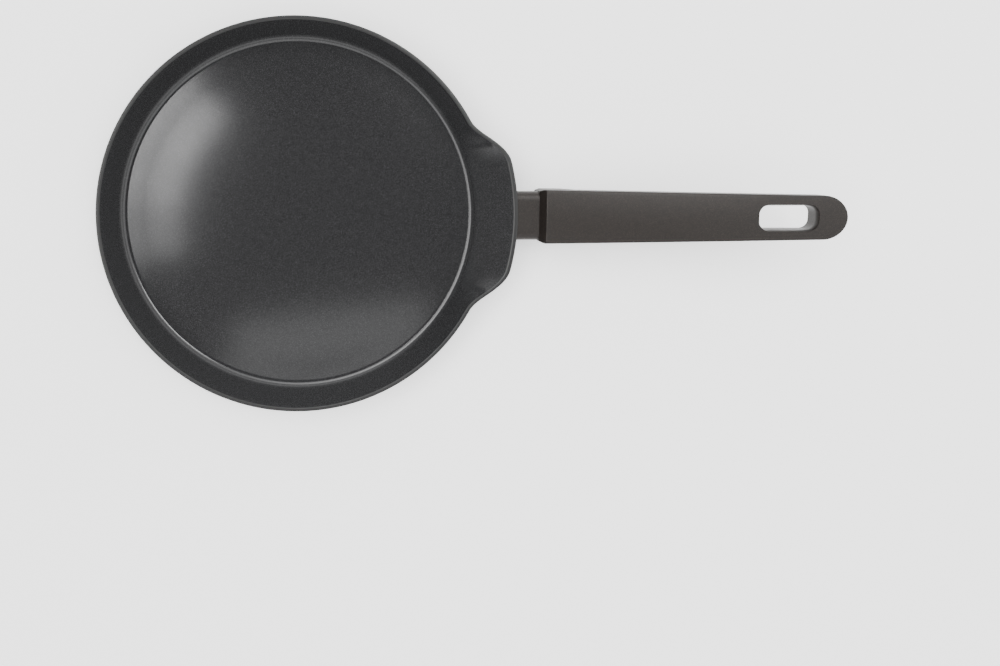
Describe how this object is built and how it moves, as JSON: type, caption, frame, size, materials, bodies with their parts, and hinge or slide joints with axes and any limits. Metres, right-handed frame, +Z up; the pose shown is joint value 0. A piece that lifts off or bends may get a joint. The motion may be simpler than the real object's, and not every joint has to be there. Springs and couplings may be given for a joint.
{
  "type": "pancake pan",
  "caption": "Shallow round pancake pan with a flared ear, a perforated induction base plate and a long screwed-on handle with a hanging slot.",
  "frame": {"origin": "centre of the flat underside that the pan stands on, below the centre of the round rim", "axes": "+Z up out of the pan, +X from the pan's centre towards the handle's tip, +Y to the left of the handle"},
  "size_m": [0.508, 0.28, 0.0577],
  "materials": {
    "pan_coating": "dark charcoal non-stick coating on forged aluminium, satin with a fine sparkle inside, matte outside",
    "base_coating": "matte dark grey heat-proof coating on a perforated steel plate",
    "stud_metal": "bare cast aluminium, hidden inside the ferrule",
    "ferrule_finish": "dark bronze-brown matte paint with a fine metallic speckle on sheet metal",
    "handle_plastic": "moulded phenolic with a dark bronze-brown soft matte lacquer and a fine metallic speckle",
    "screw_steel": "zinc-plated steel"
  },
  "bodies": {
    "root": {"pan_body": "pan_coating", "base_plate": "base_coating", "handle_stud": "stud_metal", "ferrule": "ferrule_finish", "handle": "handle_plastic", "handle_screw": "screw_steel", "lock_washer": "screw_steel"}
  },
  "joints": []
}
